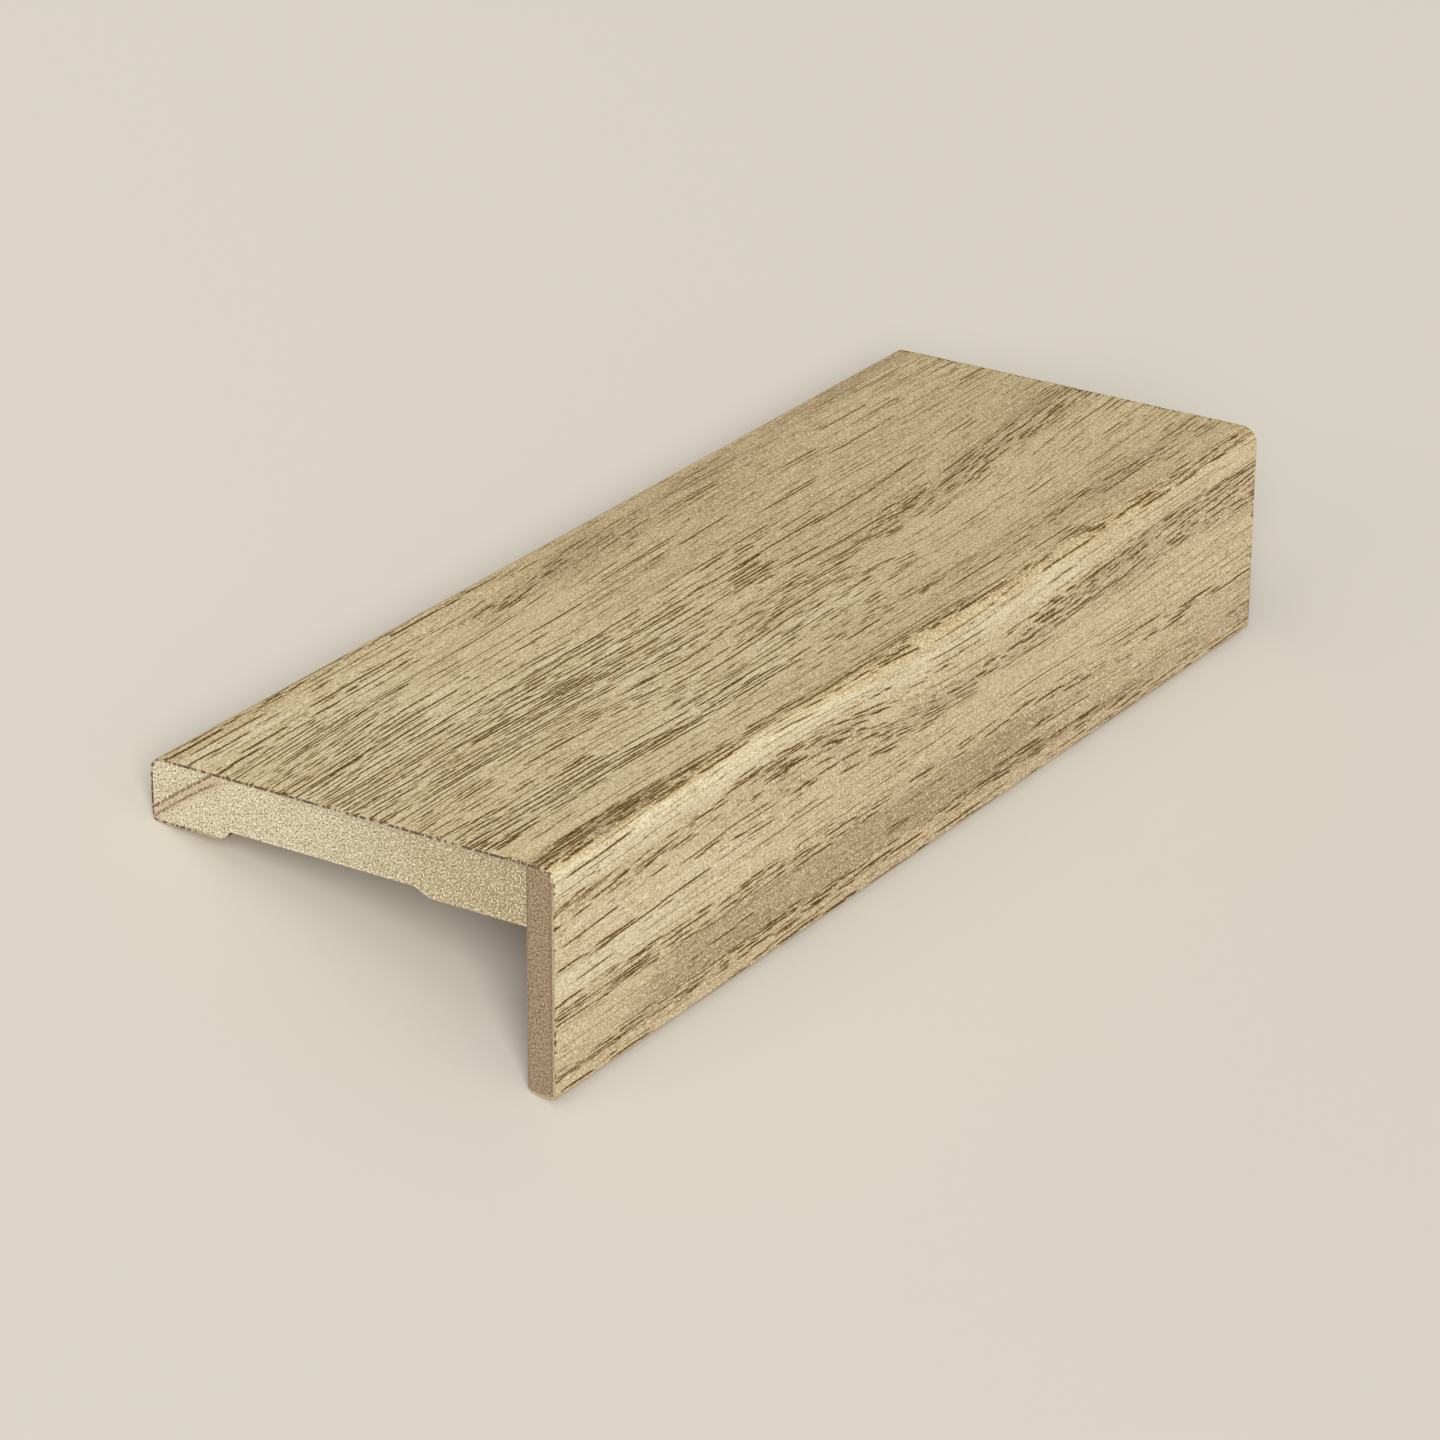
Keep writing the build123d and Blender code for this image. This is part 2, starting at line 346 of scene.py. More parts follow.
# Broad colour: v from, v to, (s low, s high) at each, how much lighter (+) or
# browner (-), softness across and along.
TONES = [
    (-5, 297, (32.0, 35.4), (31.6, 34.8), -0.40, 1.4, 10),
    (-5, 26, (37.6, 42.4), (38.2, 41.6), 0.75, 1.6, 12),
    (-5, 50, (46.0, 72.0), (43.5, 70.0), 0.45, 4.0, 16),
    (40, 100, (36.0, 68.0), (36.0, 68.0), 0.20, 5.0, 20),
    (-5, 140, (72.0, 91.0), (70.0, 88.0), 0.50, 4.0, 30),
    (95, 152, (41.0, 48.0), (36.6, 43.0), -0.36, 2.0, 10),
    (135, 215, (38.0, 47.0), (35.0, 42.0), -0.45, 2.0, 12),
    (228, 265, (35.4, 39.4), (35.6, 39.4), -0.35, 2.0, 12),
    (258, 297, (32.8, 36.6), (32.6, 36.4), -0.55, 1.6, 10),
    (150, 297, (44.0, 82.0), (42.0, 78.0), -0.14, 6.0, 30),
    (10, 76, (95.8, 106.2), (97.0, 108.0), 0.20, 1.6, 10),
    (88, 166, (89.0, 112.0), (92.0, 108.0), 0.50, 3.0, 12),
    (118, 150, (101.6, 106.4), (101.4, 106.0), 0.30, 1.6, 8),
    (168, 297, (94.0, 113.0), (92.0, 112.0), 0.16, 3.0, 16),
    (205, 297, (98.0, 104.0), (95.0, 100.0), 0.22, 2.4, 18),
    (198, 297, (84.0, 92.0), (79.0, 88.0), -0.30, 2.5, 16),
    (272, 297, (74.6, 80.6), (74.0, 80.0), -0.40, 1.8, 8),
    (165, 297, (113.6, 121.0), (114.6, 121.6), -0.30, 2.0, 14),
    (238, 260, (116.4, 119.2), (116.4, 119.2), -0.35, 1.4, 8),
    (-5, 120, (106.0, 115.6), (110.6, 116.0), 0.48, 2.0, 12),
    (-5, 297, (116.6, 123.4), (119.6, 126.0), 0.05, 2.0, 14),
    (-5, 110, (123.6, 129.0), (124.4, 127.8), -0.34, 1.3, 10),
    (2, 46, (123.4, 128.4), (123.8, 128.0), -0.95, 1.0, 6),
    (105, 297, (126.6, 130.6), (127.0, 131.0), -0.32, 1.2, 12),
    (-5, 112, (129.9, 136.4), (128.9, 133.0), 0.86, 1.1, 10),
    (-5, 60, (130.6, 134.6), (129.8, 133.0), 0.24, 1.0, 16),
    (100, 170, (130.6, 134.6), (131.0, 136.0), 0.45, 1.6, 16),
    (128, 196, (134.0, 142.0), (133.0, 140.0), 0.50, 2.0, 14),
    (190, 297, (131.6, 136.8), (131.4, 135.6), 0.42, 1.5, 16),
    (-5, 40, (136.4, 142.4), (136.0, 141.4), -0.10, 1.8, 10),
    (60, 122, (134.0, 142.0), (134.0, 143.0), -0.26, 2.0, 12),
    (112, 150, (142.6, 150.4), (143.0, 150.0), -0.26, 2.0, 10),
    (144, 235, (142.4, 149.0), (138.4, 146.6), -0.28, 2.0, 12),
    (228, 297, (136.0, 147.4), (135.4, 147.4), -0.40, 2.4, 14),
    (-5, 62, (143.4, 157.6), (144.0, 157.0), 0.50, 2.0, 18),
    (-5, 30, (152.4, 157.4), (152.4, 157.0), 0.40, 1.2, 12),
    (60, 297, (149.0, 157.8), (149.0, 157.4), 0.12, 2.5, 20),
    (120, 297, (150.6, 158.6), (150.6, 158.6), -0.06, 3.0, 20),
    (-5, 297, (158.0, 163.6), (159.8, 165.0), -0.14, 1.4, 12),
    (-5, 60, (164.0, 170.6), (164.0, 170.0), 0.12, 1.6, 16),
    (40, 180, (163.8, 171.6), (164.4, 171.0), -1.22, 2.0, 22),
    (175, 297, (165.0, 173.0), (166.0, 175.0), -0.45, 2.4, 20),
    (-5, 297, (171.6, 176.4), (173.0, 178.4), -0.45, 1.6, 12),
    (-5, 80, (176.4, 178.2), (176.6, 178.2), 0.20, 1.0, 12),
    (-5, 297, (178.0, 182.0), (178.6, 182.0), -0.50, 0.9, 12),
    (-5, 110, (36.0, 128.0), (36.0, 128.0), 0.10, 6.0, 40),
    (130, 297, (36.0, 128.0), (36.0, 128.0), -0.42, 6.0, 60),
    (120, 297, (137.0, 176.0), (137.0, 176.0), -0.17, 4.0, 50),
    (-5, 297, (19.6, 24.6), (21.0, 26.0), -0.25, 2.0, 20),
    (-5, 297, (25.4, 29.0), (25.4, 29.0), 0.18, 1.6, 20),
    (-5, 297, (0.0, 17.0), (0.0, 17.0), 0.12, 3.0, 20),
]


def band(row, s, v, across, along):
    v0, v1, a, b = row[:4]
    t = np.clip((v - v0) / (v1 - v0), 0, 1)
    v0, v1 = v0 - 40 * (v0 <= 0), v1 + 40 * (v1 >= LENGTH)  # runs out over the end
    lo, hi = a[0] + (b[0] - a[0]) * t, a[1] + (b[1] - a[1]) * t
    return soft(s, lo, hi, across) * soft(v, v0, v1, along)


def figure(s, v):
    """Pore density, darkness and length, and broad tone, over the wrap."""
    # ragged band edges: fibres start and stop unevenly
    v = v + 9.0 * smooth_noise(s / 0.9, v / 60.0, 41) + 7.0 * smooth_noise(s / 3.1, v / 40.0, 42)
    s = s + 0.55 * smooth_noise(s / 3.0, v / 11.0, 43) + 0.25 * smooth_noise(s / 1.1, v / 6.0, 44)
    dens, dark, size = np.full(s.shape, 0.13), np.full(s.shape, 0.40), np.full(s.shape, 14.0)
    for row in PORES:
        w = band(row, s, v, 0.5, 4.0)
        here = w * row[4]
        up = here > dens
        dens = np.maximum(dens, here)
        dark = np.where(up, 0.45 + (row[5] - 0.45) * w, dark)
        size = np.where(up, row[6], size)
    tone = np.zeros(s.shape)
    for row in TONES:
        tone += row[4] * band(row, s, v, row[5], row[6])
    return dens, dark, size, tone


# ------------------------------------------------------------------ the wrap's mesh
def spread(a, b, step):
    return np.linspace(a, b, max(1, round((b - a) / step)) + 1)[:-1]


U = np.concatenate([
    spread(0.0, 16.0, 0.8),
    spread(16.0, 31.0, 0.42),
    spread(31.0, 178.6, 0.232),
    spread(178.6, GIRTH, 0.42),
    [GIRTH],
])
NU = len(U)
NV = 128
VROW = np.concatenate([[0.0, 0.7], np.linspace(2.3, LENGTH - 2.3, NV - 4), [LENGTH - 0.7, LENGTH]])
rng = np.random.default_rng(20)
stagger = rng.uniform(-0.95, 0.95, NU)
stagger[:2] = stagger[-2:] = 0.0
hold = np.ones(NV)
hold[0] = hold[-1] = 0.0
hold[1] = hold[-2] = 0.3
UU = np.repeat(U[:, None], NV, 1)
VV = VROW[None, :] + stagger[:, None] * hold[None, :]
SS = flow(UU, VV)
SS[0], SS[-1] = 0.0, GIRTH
DENS, DARK, SIZE, TONE = figure(SS, VV)
# the front's pores are a little sparser and paler than the deck's, most of all near the viewer
calm = np.clip((SS - 133.0) / 4.0, 0, 1) * (0.6 + 0.4 * np.clip((110.0 - VV) / 60.0, 0, 1))
DENS = DENS * (1 - 0.09 * calm)
DARK = DARK * (1 - 0.14 * calm)

# open pores as real grooves along the grain
STEP = LENGTH / (NV - 1)
PORE = np.zeros((NU, NV))
start = rng.random((NU, NV))
lengths = rng.exponential(1.0, (NU, NV))
force = rng.random((NU, NV))
wide = rng.random((NU, NV))
bare = rng.random((NU, NV))
lean = rng.random((NU, NV))
gap_u = np.gradient(U)
taken = np.full(NV, -1)  # the last column that a pore and the wood beside it hold, row by row
for i in range(3, NU - 4):
    chance = (DENS[i] ** 1.8 * 0.22 + 0.004) * min(gap_u[i] / 0.232, 2.0)
    j = 0
    while j < NV:
        if start[i, j] >= chance[j] or i <= taken[j]:
            j += 1
            continue
        n = 1 + int(round(SIZE[i, j] / STEP * (0.35 + 0.75 * lengths[i, j])))
        n = min(n, 20)
        p = DARK[i, j] * (0.62 + 0.5 * force[i, j])
        broad = wide[i, j] < 0.80 * DARK[i, j] * (0.4 + 0.6 * DENS[i, j])
        room = int(round((0.6 + 4.6 * bare[i, j] ** 1.6) * (1.65 - DENS[i, j])))
        # a vessel wanders off its fibre line, more often up than down
        step_at = j + max(1, n // 2) if lean[i, j] < 0.50 and n > 1 else NV
        side = -1 if lean[i, j] < 0.42 else 1
        k = j
        while k < min(j + n, NV):
            if k > j and (DENS[i, k] < 0.35 * DENS[i, j] or i <= taken[k]):
                break
            ends = 0.62 if (k == j or k == j + n - 1) and n > 1 else 1.0
            c = i + side if k >= step_at else i
            PORE[c, k] = max(PORE[c, k], p * ends)
            if broad:
                PORE[c + 1, k] = max(PORE[c + 1, k], 0.92 * p * ends)
            if k == step_at:
                PORE[i, k] = max(PORE[i, k], 0.6 * p)
            taken[k] = i + int(broad) + room
            k += 1
        j = k + 1
# fibres torn off along the sawn ends
for e, col in ((0, 0), (1, NV - 1)):
    chip = np.clip(smooth_noise(U / 0.75, 3.0 + e, 81 + e) + 0.55 * smooth_noise(U / 4.0, 9.0 + e, 83) - 0.12, 0, 0.8) / 0.8
    near_row = 1 if e == 0 else NV - 2
    PORE[:, col] = np.maximum(0.55 * PORE[:, col], 0.85 * chip)
    PORE[:, near_row] = np.maximum(PORE[:, near_row], 0.30 * chip)
fine = 0.5 + 0.5 * smooth_noise(UU / 0.7, VV / 14.0, 31)
DEPTH = 0.085 * PORE + 0.010 * fine
DEPTH[:, [0, -1]] = 0.015 + 0.235 * np.clip(PORE[:, [0, -1]], 0, 1)
DEPTH[0] = DEPTH[-1] = 0.0

PX, PZ, NX, NZ = on_path(SS)
outer = world(PX - DEPTH * NX, VV, PZ - DEPTH * NZ).reshape(-1, 3)

inner_rows = np.unique(np.round(np.linspace(0, NV - 1, 6)).astype(int))
NI = len(inner_rows)
ix, iv, iz, inx, inz = (a[:, inner_rows] for a in (PX, VV, PZ, NX, NZ))
inner = world(ix - SKIN * inx, iv, iz - SKIN * inz).reshape(-1, 3)
half_t = []
for col in (0, NV - 1):
    half_t.append(
        world(
            PX[:, col] - 0.5 * SKIN * NX[:, col],
            VV[:, col] + (0.04 if col == 0 else -0.04),
            PZ[:, col] - 0.5 * SKIN * NZ[:, col],
        )
    )
verts = np.concatenate([outer, inner, half_t[0], half_t[1]])
O = lambda i, j: i * NV + j
I0 = NU * NV
I = lambda i, j: I0 + i * NI + j
M0 = I0 + NU * NI
M1 = M0 + NU
ii = np.arange(NU - 1)
quads, tags = [], []


def add(a, b, c, d, tag):
    q = np.stack(np.broadcast_arrays(a, b, c, d), -1).reshape(-1, 4)
    quads.append(q)
    tags.append(np.full(len(q), tag))


gi, gj = np.meshgrid(ii, np.arange(NV - 1), indexing="ij")
add(O(gi, gj), O(gi, gj + 1), O(gi + 1, gj + 1), O(gi + 1, gj), 0)
gi, gj = np.meshgrid(ii, np.arange(NI - 1), indexing="ij")
add(I(gi, gj), I(gi + 1, gj), I(gi + 1, gj + 1), I(gi, gj + 1), 2)
add(O(ii, 0), O(ii + 1, 0), M0 + ii + 1, M0 + ii, 1)
add(M0 + ii, M0 + ii + 1, I(ii + 1, 0), I(ii, 0), 1)
add(O(ii, NV - 1), M1 + ii, M1 + ii + 1, O(ii + 1, NV - 1), 1)
add(M1 + ii, I(ii, NI - 1), I(ii + 1, NI - 1), M1 + ii + 1, 1)

faces = [tuple(int(k) for k in q) for block in quads for q in block]
face_tags = list(np.concatenate(tags))
# the two long cut edges, as fans between the fine outer rows and the coarse inner ones
for i, flip in ((0, True), (NU - 1, False)):
    for k in range(NI - 1):
        a, b = inner_rows[k], inner_rows[k + 1]
        ring = [O(i, j) for j in range(a, b + 1)]
        lo_i, hi_i = I(i, k), I(i, k + 1)
        mid = (len(ring) - 1) // 2
        tris = [(ring[j], ring[j + 1], lo_i) for j in range(mid)]
        tris += [(ring[j], ring[j + 1], hi_i) for j in range(mid, len(ring) - 1)]
        tris.append((lo_i, ring[mid], hi_i))
        if k == 0:
            tris.append((lo_i, M0 + i, ring[0]))
        if k == NI - 2:
            tris.append((ring[-1], M1 + i, hi_i))
        for t in tris:
            faces.append(tuple(int(x) for x in (t[::-1] if flip else t)))
            face_tags.append(1)


def make_mesh(name, verts, faces):
    me = bpy.data.meshes.new(name)
    me.from_pydata([tuple(p) for p in verts.tolist()], [], faces)
    me.validate(verbose=False)
    me.update()
    ob = bpy.data.objects.new(name, me)
    bpy.context.scene.collection.objects.link(ob)
    return ob


def put(me, name, kind, data):
    at = me.attributes.new(name, kind, "POINT")
    at.data.foreach_set("vector" if kind == "FLOAT_VECTOR" else "value", np.asarray(data, np.float32).ravel())


def keep_sharp(me, faces):
    """Marks every edge of the given faces sharp, so that shading stops there."""
    first = np.zeros(len(me.polygons), np.int64)
    total = np.zeros(len(me.polygons), np.int64)
    edge = np.zeros(len(me.loops), np.int64)
    me.polygons.foreach_get("loop_start", first)
    me.polygons.foreach_get("loop_total", total)
    me.loops.foreach_get("edge_index", edge)
    flags = np.zeros(len(me.edges), bool)
    flags[edge[np.repeat(faces, total)]] = True
    at = me.attributes.new("sharp_edge", "BOOLEAN", "EDGE")
    at.data.foreach_set("value", flags)


def volume_sign(ob):
    import bmesh
    bm = bmesh.new()
    bm.from_mesh(ob.data)
    v = bm.calc_volume(signed=True)
    bm.free()
    return v


wrap = make_mesh("veneer_face", verts, faces)
if volume_sign(wrap) < 0:
    wrap.data.flip_normals()
me = wrap.data
assert len(me.vertices) == len(verts)


def per_vertex(full, ends):
    return np.concatenate([
        full.ravel(), full[:, inner_rows].ravel(), full[:, 0] if ends is None else ends, full[:, -1] if ends is None else ends
    ])


grain = np.stack([per_vertex(UU, None), per_vertex(VV, None), per_vertex(SS, None)], -1)
look = np.stack([per_vertex(TONE, None), per_vertex(DENS, None), per_vertex(PORE, None)], -1)
depth_in = np.concatenate([np.zeros(NU * NV), np.ones(NU * NI), np.full(2 * NU, 0.5)])
put(me, "grain", "FLOAT_VECTOR", grain)
put(me, "look", "FLOAT_VECTOR", look)
put(me, "through", "FLOAT", depth_in)

# a map that unrolls the sheet: the shown face fills it, the cut edges and the back lie in strips
uv = me.uv_layers.new(name="OFBake")
loops_v = np.zeros(len(me.loops), np.int64)
me.loops.foreach_get("vertex_index", loops_v)
tag_arr = np.array(face_tags)
poly_start = np.zeros(len(me.polygons), np.int64)
poly_total = np.zeros(len(me.polygons), np.int64)
me.polygons.foreach_get("loop_start", poly_start)
me.polygons.foreach_get("loop_total", poly_total)
loop_tag = np.repeat(tag_arr, poly_total)
g = grain[loops_v]
deep = depth_in[loops_v]
u_of = 0.006 + 0.900 * g[:, 2] / GIRTH
v_of = 0.006 + 0.988 * np.clip(g[:, 1], 0, LENGTH) / LENGTH
side = loop_tag == 1
back = loop_tag == 2
near = side & (g[:, 1] < 1.0)
far = side & (g[:, 1] > LENGTH - 1.0)
long_edge = side & ~near & ~far
u_of[back] = 0.985 + 0.010 * g[back, 2] / GIRTH
u_of[near] = 0.915 + 0.012 * deep[near]
v_of[near] = 0.006 + 0.988 * g[near, 2] / GIRTH
u_of[far] = 0.935 + 0.012 * deep[far]
v_of[far] = 0.006 + 0.988 * g[far, 2] / GIRTH
u_of[long_edge] = 0.955 + 0.010 * deep[long_edge] + 0.012 * (g[long_edge, 2] > 90)
uv.data.foreach_set("uv", np.stack([u_of, v_of], -1).astype(np.float32).ravel())
me.polygons.foreach_set("material_index", np.where(tag_arr == 0, 0, np.where(tag_arr == 1, 1, 2)).astype(np.int32))
smooth = tag_arr == 0
me.polygons.foreach_set("use_smooth", smooth)
keep_sharp(me, ~smooth)


# ------------------------------------------------------------------ prisms with sawn ends
def arc_up(x, cx, cz, r):
    return cz + np.sqrt(np.maximum(r * r - (x - cx) ** 2, 0))


def arc_dn(x, cx, cz, r):
    return cz - np.sqrt(np.maximum(r * r - (x - cx) ** 2, 0))


def ogee(x, x0, z0, x1, z1):
    """An S of two equal arcs, level at both ends."""
    dx, dz = (x1 - x0) / 2, (z1 - z0) / 2
    r = (dx * dx + dz * dz) / (2 * abs(dz))
    sg = 1.0 if dz > 0 else -1.0
    first = z0 + sg * (r - np.sqrt(np.maximum(r * r - (x - x0) ** 2, 0)))
    second = z1 - sg * (r - np.sqrt(np.maximum(r * r - (x1 - x) ** 2, 0)))
    return np.where(x < (x0 + x1) / 2, first, second)


def board_low(x):
    z = np.full(x.shape, LAND)
    r = R_BR - SKIN
    z = np.where(x < R_BR, arc_dn(x, R_BR, LAND + r, r), z)
    z = np.where((x > 18.2) & (x < 20.6), ogee(x, 18.2, LAND, 20.6, CEIL), z)
    z = np.where((x >= 20.6) & (x <= 65.0), CEIL, z)
    z = np.where((x > 65.0) & (x < 70.8), ogee(x, 65.0, CEIL, 70.8, LAND), z)
    return z


def board_high(x):
    r = R_TR - SKIN
    return np.where(x < R_TR, arc_up(x, R_TR, TOP - r, r), TOP)


def strip_left(z):
    return np.where(z < SKIN + R_LI, B_FRONT + R_LI - np.sqrt(np.maximum(R_LI**2 - (SKIN + R_LI - z) ** 2, 0)), B_FRONT)


def strip_right(z):
    r1, r2 = R_LO - SKIN, R_TF - SKIN
    x = np.full(z.shape, S_FRONT)
    x = np.where(z < SKIN + r1, S_FRONT - r1 + np.sqrt(np.maximum(r1**2 - (SKIN + r1 - z) ** 2, 0)), x)
    return np.where(z > TOP - r2, S_FRONT - r2 + np.sqrt(np.maximum(r2**2 - (z - TOP + r2) ** 2, 0)), x)


def prism(name, A, B, rows_v, relief, side_relief):
    """A closed prism. A, B are section coordinates on an n x m grid; relief gives how far
    each end's grid sinks in from the sawn face, side_relief how far a side point sinks."""
    n, m = A.shape
    nr = len(rows_v)
    ring = [(i, 0) for i in range(n)] + [(n - 1, j) for j in range(1, m)]
    ring += [(i, m - 1) for i in range(n - 2, -1, -1)] + [(0, j) for j in range(m - 2, 0, -1)]
    ri, rj = np.array(ring).T
    RX, RZ = A[ri, rj], B[ri, rj]
    tx, tz = np.roll(RX, -1) - np.roll(RX, 1), np.roll(RZ, -1) - np.roll(RZ, 1)
    ln = np.hypot(tx, tz) + 1e-9
    ox, oz = tz / ln, -tx / ln  # outward for a counter-clockwise ring
    area = 0.5 * np.sum(RX * np.roll(RZ, -1) - np.roll(RX, -1) * RZ)
    if area < 0:
        ox, oz = -ox, -oz
    nring = len(ring)
    V = np.repeat(rows_v[:, None], nring, 1)
    sink = side_relief(np.repeat(RX[None], nr, 0), np.repeat(RZ[None], nr, 0), V, np.repeat(oz[None], nr, 0))
    sink[0] = sink[-1] = 0.0
    sx = RX[None] - sink * ox[None]
    sz = RZ[None] - sink * oz[None]
    near_cap = relief(A, B, 0)
    far_cap = relief(A, B, 1)
    for cap in (near_cap, far_cap):
        cap[ri, rj] = 0.0
    ids = np.full((n, m), -1)
    verts = [np.stack([sx.ravel(), V.ravel(), sz.ravel()], -1)]
    faces = []
    k = np.arange(nring)
    for r in range(nr - 1):
        a, b = r * nring, (r + 1) * nring
        faces.append(np.stack([a + k, b + k, b + (k + 1) % nring, a + (k + 1) % nring], -1))
    base = nr * nring
    depth = [np.repeat(np.zeros(nring)[None], nr, 0).ravel()]
    for cap, v_here, sign, first in ((near_cap, 0.0, 1, 0), (far_cap, LENGTH, -1, (nr - 1) * nring)):
        ids = np.full((n, m), -1)
        ids[ri, rj] = first + k
        inside = ids < 0
        ids[inside] = base + np.arange(inside.sum())
        verts.append(np.stack([A[inside], v_here + sign * cap[inside], B[inside]], -1))
        depth.append(cap[inside])
        base += int(inside.sum())
        q = np.stack([ids[:-1, :-1], ids[1:, :-1], ids[1:, 1:], ids[:-1, 1:]], -1).reshape(-1, 4)
        faces.append(q if sign > 0 else q[:, ::-1])
    P = np.concatenate(verts)
    F = np.concatenate(faces)
    ob = make_mesh(name, world(P[:, 0], P[:, 1], P[:, 2]), [tuple(map(int, f)) for f in F])
    if volume_sign(ob) < 0:
        ob.data.flip_normals()
    put(ob.data, "sec", "FLOAT_VECTOR", P[:, [0, 2, 1]])
    put(ob.data, "pit", "FLOAT", np.concatenate(depth))
    n_side = (nr - 1) * nring
    flags = np.zeros(len(F), bool)
    flags[:n_side] = True
    ob.data.polygons.foreach_set("use_smooth", np.ones(len(F), bool))
    rim = np.zeros(len(ob.data.edges), bool)
    ends = np.zeros(len(ob.data.edges) * 2, np.int64)
    ob.data.edges.foreach_get("vertices", ends)
    ends = ends.reshape(-1, 2)
    last = (nr - 1) * nring
    rim = (ends < nring).all(1) | ((ends >= last) & (ends < nr * nring)).all(1)
    at = ob.data.attributes.new("sharp_edge", "BOOLEAN", "EDGE")
    at.data.foreach_set("value", rim)
    return ob


def board_end(A, B, which):
    """Torn and crushed fibre ends: small pits."""
    s = 100 * (which + 1)
    g1 = smooth_noise(A / 0.42, B / 0.42, s + 1)
    g2 = smooth_noise(A / 0.9 + 7, B / 0.8, s + 2)
    g3 = np.random.default_rng(s + 3).random(A.shape)
    return np.clip(0.055 + 0.060 * g1 + 0.030 * g2, 0, None) + 0.045 * g3**3


def board_side(X, Z, V, oz):
    return np.clip(0.012 + 0.014 * smooth_noise(X / 0.8, V / 40.0, 61), 0, None) * (np.abs(oz) > 0.02)


def strip_end(A, B, which):
    s = 300 * (which + 1)
    g1 = smooth_noise(A / 0.35, B / 0.5, s + 1)
    g3 = np.random.default_rng(s + 3).random(A.shape)
    return np.clip(0.04 + 0.045 * g1, 0, None) + 0.03 * g3**3


def strip_side(X, Z, V, oz):
    return np.clip(0.010 + 0.010 * smooth_noise(Z / 0.9, V / 1.2, 71), 0, None)


def steps(*stops):
    out = []
    for a, b, h in stops:
        out.append(spread(a, b, h))
    return np.concatenate(out + [[stops[-1][1]]])


bx = steps(
    (SKIN, 0.8, 0.04), (0.8, 3.0, 0.16), (3.0, 18.2, 0.34), (18.2, 20.6, 0.10), (20.6, 65.0, 0.34),
    (65.0, 70.8, 0.29), (70.8, B_FRONT, 0.34),
)
mt = np.linspace(0, 1, 40)
A = np.repeat(bx[:, None], len(mt), 1)
B = board_low(bx)[:, None] * (1 - mt) + board_high(bx)[:, None] * mt
# fade the grid's own regularity with a little jitter inside
jit = np.random.default_rng(5)
ja, jb = jit.uniform(-0.09, 0.09, A.shape), jit.uniform(-0.09, 0.09, A.shape)
inner_mask = np.zeros(A.shape, bool)
inner_mask[2:-2, 1:-1] = True
room = inner_mask * np.clip(np.minimum(np.gradient(A, axis=0), np.gradient(B, axis=1)) / 0.30, 0, 1)
A, B = A + ja * room, B + jb * room
rows_b = np.linspace(0, LENGTH, 50)
board = prism("deck_core", A, B, rows_b, board_end, board_side)

zs = steps((SKIN, 1.0, 0.06), (1.0, 1.8, 0.14), (1.8, 46.7, 0.30), (46.7, 49.2, 0.22), (49.2, 49.9, 0.1), (49.9, TOP, 0.04))
mx = np.linspace(0, 1, 22)
Bs = np.repeat(zs[:, None], len(mx), 1)
As = strip_left(zs)[:, None] * (1 - mx) + strip_right(zs)[:, None] * mx
inner_mask = np.zeros(As.shape, bool)
inner_mask[2:-2, 1:-1] = True
room = inner_mask * np.clip(np.minimum(np.gradient(Bs, axis=0), np.gradient(As, axis=1)) / 0.26, 0, 1)
As = As + jit.uniform(-0.07, 0.07, As.shape) * room
Bs = Bs + jit.uniform(-0.07, 0.07, As.shape) * room
lip = prism("strip_core", As, Bs, rows_b, strip_end, strip_side)


